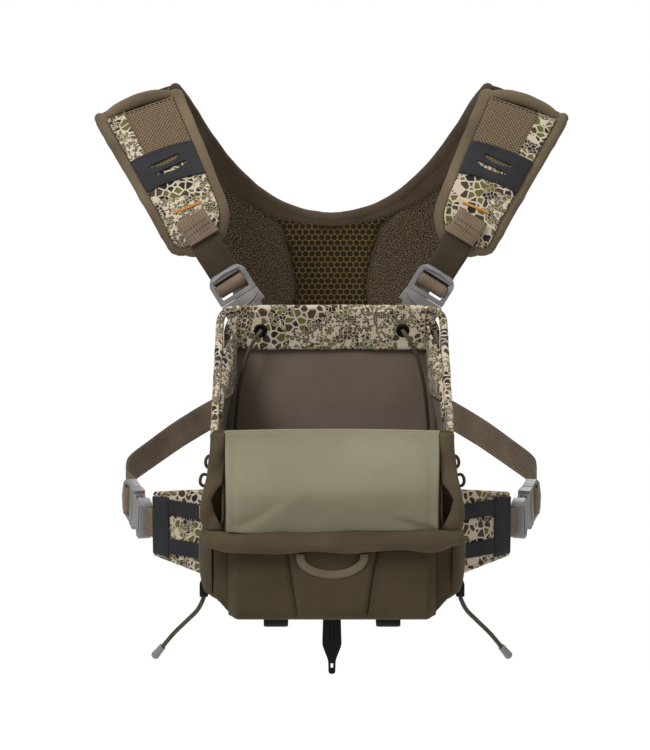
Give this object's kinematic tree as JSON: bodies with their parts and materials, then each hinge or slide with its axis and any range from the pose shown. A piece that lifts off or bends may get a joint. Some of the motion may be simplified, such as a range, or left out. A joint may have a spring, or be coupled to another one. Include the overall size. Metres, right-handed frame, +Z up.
{
  "type": "binocular harness pack",
  "caption": "Chest pack for binoculars with a fold-down lid, padded shoulder straps joined by a mesh back yoke, side straps and side-release buckles.",
  "frame": {"origin": "Middle of the back panel's back face, where the pack lies against the wearer's chest.", "axes": "+Z is up, -Y is the front of the pack, away from the wearer, and +X is to the right of someone facing the pack."},
  "size_m": [0.3226, 0.3285, 0.3709],
  "materials": {
    "camo_fabric": "matt printed woven fabric",
    "softshell": "matt brushed softshell",
    "lid_lining": "smooth matt lining",
    "spacer_mesh": "open spacer mesh with bound edges",
    "webbing": "woven nylon webbing",
    "black_webbing": "woven nylon webbing",
    "laminate": "matt coated laminate",
    "grey_plastic": "moulded acetal, satin",
    "black_plastic": "moulded nylon, slight gloss",
    "shock_cord": "braided sheath over rubber"
  },
  "bodies": {
    "pack": {"back_panel": "spacer_mesh", "mouth_band": "camo_fabric", "front_wall": "softshell", "base_panel": "softshell", "front_pocket": "softshell", "shoulder_anchor": "webbing", "yoke_pad": "spacer_mesh", "eyelet_right": "black_plastic", "side_wall_right": "camo_fabric", "side_pocket_right": "softshell", "lid_gusset_right": "softshell", "wing_right": "camo_fabric", "wing_laminate_right": "laminate", "wing_webbing_right": "webbing", "shoulder_buckle_socket_right": "grey_plastic", "side_buckle_socket_right": "grey_plastic", "shoulder_pad_right": "spacer_mesh", "shoulder_patch_right": "laminate", "shoulder_webbing_right": "webbing", "side_strap_right": "webbing", "cord_lock_right": "black_plastic", "cord_tail_right": "shock_cord", "cord_end_right": "grey_plastic", "tether_cord_right": "shock_cord", "base_loop_right": "black_webbing", "eyelet_left": "black_plastic", "side_wall_left": "camo_fabric", "side_pocket_left": "softshell", "lid_gusset_left": "softshell", "wing_left": "camo_fabric", "wing_laminate_left": "laminate", "wing_webbing_left": "webbing", "shoulder_buckle_socket_left": "grey_plastic", "side_buckle_socket_left": "grey_plastic", "shoulder_pad_left": "spacer_mesh", "shoulder_patch_left": "laminate", "shoulder_webbing_left": "webbing", "side_strap_left": "webbing", "cord_lock_left": "black_plastic", "cord_tail_left": "shock_cord", "cord_end_left": "grey_plastic", "tether_cord_left": "shock_cord", "base_loop_left": "black_webbing"},
    "lid": {"lid_shell": "softshell", "lid_liner": "lid_lining"},
    "lid_handle": {"lid_handle": "webbing"},
    "base_tongue": {"base_tongue": "black_plastic"},
    "shoulder_plug_right": {"shoulder_buckle_plug_right": "grey_plastic"},
    "shoulder_arm_outer_right": {"shoulder_buckle_arm_outer_right": "grey_plastic"},
    "shoulder_arm_inner_right": {"shoulder_buckle_arm_inner_right": "grey_plastic"},
    "shoulder_plug_left": {"shoulder_buckle_plug_left": "grey_plastic"},
    "shoulder_arm_outer_left": {"shoulder_buckle_arm_outer_left": "grey_plastic"},
    "shoulder_arm_inner_left": {"shoulder_buckle_arm_inner_left": "grey_plastic"},
    "side_plug_right": {"side_buckle_plug_right": "grey_plastic"},
    "side_arm_outer_right": {"side_buckle_arm_outer_right": "grey_plastic"},
    "side_arm_inner_right": {"side_buckle_arm_inner_right": "grey_plastic"},
    "side_plug_left": {"side_buckle_plug_left": "grey_plastic"},
    "side_arm_outer_left": {"side_buckle_arm_outer_left": "grey_plastic"},
    "side_arm_inner_left": {"side_buckle_arm_inner_left": "grey_plastic"}
  },
  "joints": [
    {"name": "lid_fold", "type": "hinge", "parent": "pack", "child": "lid", "pos_m": [0, -0.1085, 0.027], "axis": [-1, 0, 0], "range_deg": [0, 222]},
    {"name": "handle_swing", "type": "hinge", "parent": "lid", "child": "lid_handle", "pos_m": [0, -0.1161, -0.0496], "axis": [-1, 0, 0], "range_deg": [0, 75]},
    {"name": "tongue_swing", "type": "hinge", "parent": "pack", "child": "base_tongue", "pos_m": [0, -0.06025, -0.092], "axis": [1, 0, 0], "range_deg": [-60, 60]},
    {"name": "shoulder_release_right", "type": "slide", "parent": "pack", "child": "shoulder_plug_right", "axis": [0.5326, 0.0603, 0.8442], "range_m": [0, 0.022]},
    {"name": "shoulder_squeeze_outer_right", "type": "hinge", "parent": "shoulder_plug_right", "child": "shoulder_arm_outer_right", "pos_m": [0.06778, 0.00918, 0.09143], "axis": [-0.0006, 0.9975, -0.0708], "range_deg": [0, 6], "stiffness_Nm_per_rad": 0.02},
    {"name": "shoulder_squeeze_inner_right", "type": "hinge", "parent": "shoulder_plug_right", "child": "shoulder_arm_inner_right", "pos_m": [0.05322, 0.00982, 0.10057], "axis": [0.0006, -0.9975, 0.0708], "range_deg": [0, 6], "stiffness_Nm_per_rad": 0.02},
    {"name": "shoulder_release_left", "type": "slide", "parent": "pack", "child": "shoulder_plug_left", "axis": [-0.5326, 0.0603, 0.8442], "range_m": [0, 0.022]},
    {"name": "shoulder_squeeze_outer_left", "type": "hinge", "parent": "shoulder_plug_left", "child": "shoulder_arm_outer_left", "pos_m": [-0.06778, 0.00918, 0.09143], "axis": [-0.0006, -0.9975, 0.0708], "range_deg": [0, 6], "stiffness_Nm_per_rad": 0.02},
    {"name": "shoulder_squeeze_inner_left", "type": "hinge", "parent": "shoulder_plug_left", "child": "shoulder_arm_inner_left", "pos_m": [-0.05322, 0.00982, 0.10057], "axis": [0.0006, 0.9975, -0.0708], "range_deg": [0, 6], "stiffness_Nm_per_rad": 0.02},
    {"name": "side_release_right", "type": "slide", "parent": "pack", "child": "side_plug_right", "axis": [0.3008, 0.9324, 0.2005], "range_m": [0, 0.022]},
    {"name": "side_squeeze_outer_right", "type": "hinge", "parent": "side_plug_right", "child": "side_arm_outer_right", "pos_m": [0.13303, 0.04664, -0.05742], "axis": [-0.9517, 0.307, 0], "range_deg": [0, 6], "stiffness_Nm_per_rad": 0.02},
    {"name": "side_squeeze_inner_right", "type": "hinge", "parent": "side_plug_right", "child": "side_arm_inner_right", "pos_m": [0.13197, 0.04336, -0.04057], "axis": [0.9517, -0.307, 0], "range_deg": [0, 6], "stiffness_Nm_per_rad": 0.02},
    {"name": "side_release_left", "type": "slide", "parent": "pack", "child": "side_plug_left", "axis": [-0.3008, 0.9324, 0.2005], "range_m": [0, 0.022]},
    {"name": "side_squeeze_outer_left", "type": "hinge", "parent": "side_plug_left", "child": "side_arm_outer_left", "pos_m": [-0.13303, 0.04664, -0.05742], "axis": [-0.9517, -0.307, 0], "range_deg": [0, 6], "stiffness_Nm_per_rad": 0.02},
    {"name": "side_squeeze_inner_left", "type": "hinge", "parent": "side_plug_left", "child": "side_arm_inner_left", "pos_m": [-0.13197, 0.04336, -0.04057], "axis": [0.9517, 0.307, 0], "range_deg": [0, 6], "stiffness_Nm_per_rad": 0.02}
  ],
  "couplings": [
    {"joint": "shoulder_squeeze_inner_right", "follows": "shoulder_squeeze_outer_right", "ratio": 1},
    {"joint": "shoulder_squeeze_inner_left", "follows": "shoulder_squeeze_outer_left", "ratio": 1},
    {"joint": "side_squeeze_inner_right", "follows": "side_squeeze_outer_right", "ratio": 1},
    {"joint": "side_squeeze_inner_left", "follows": "side_squeeze_outer_left", "ratio": 1}
  ]
}
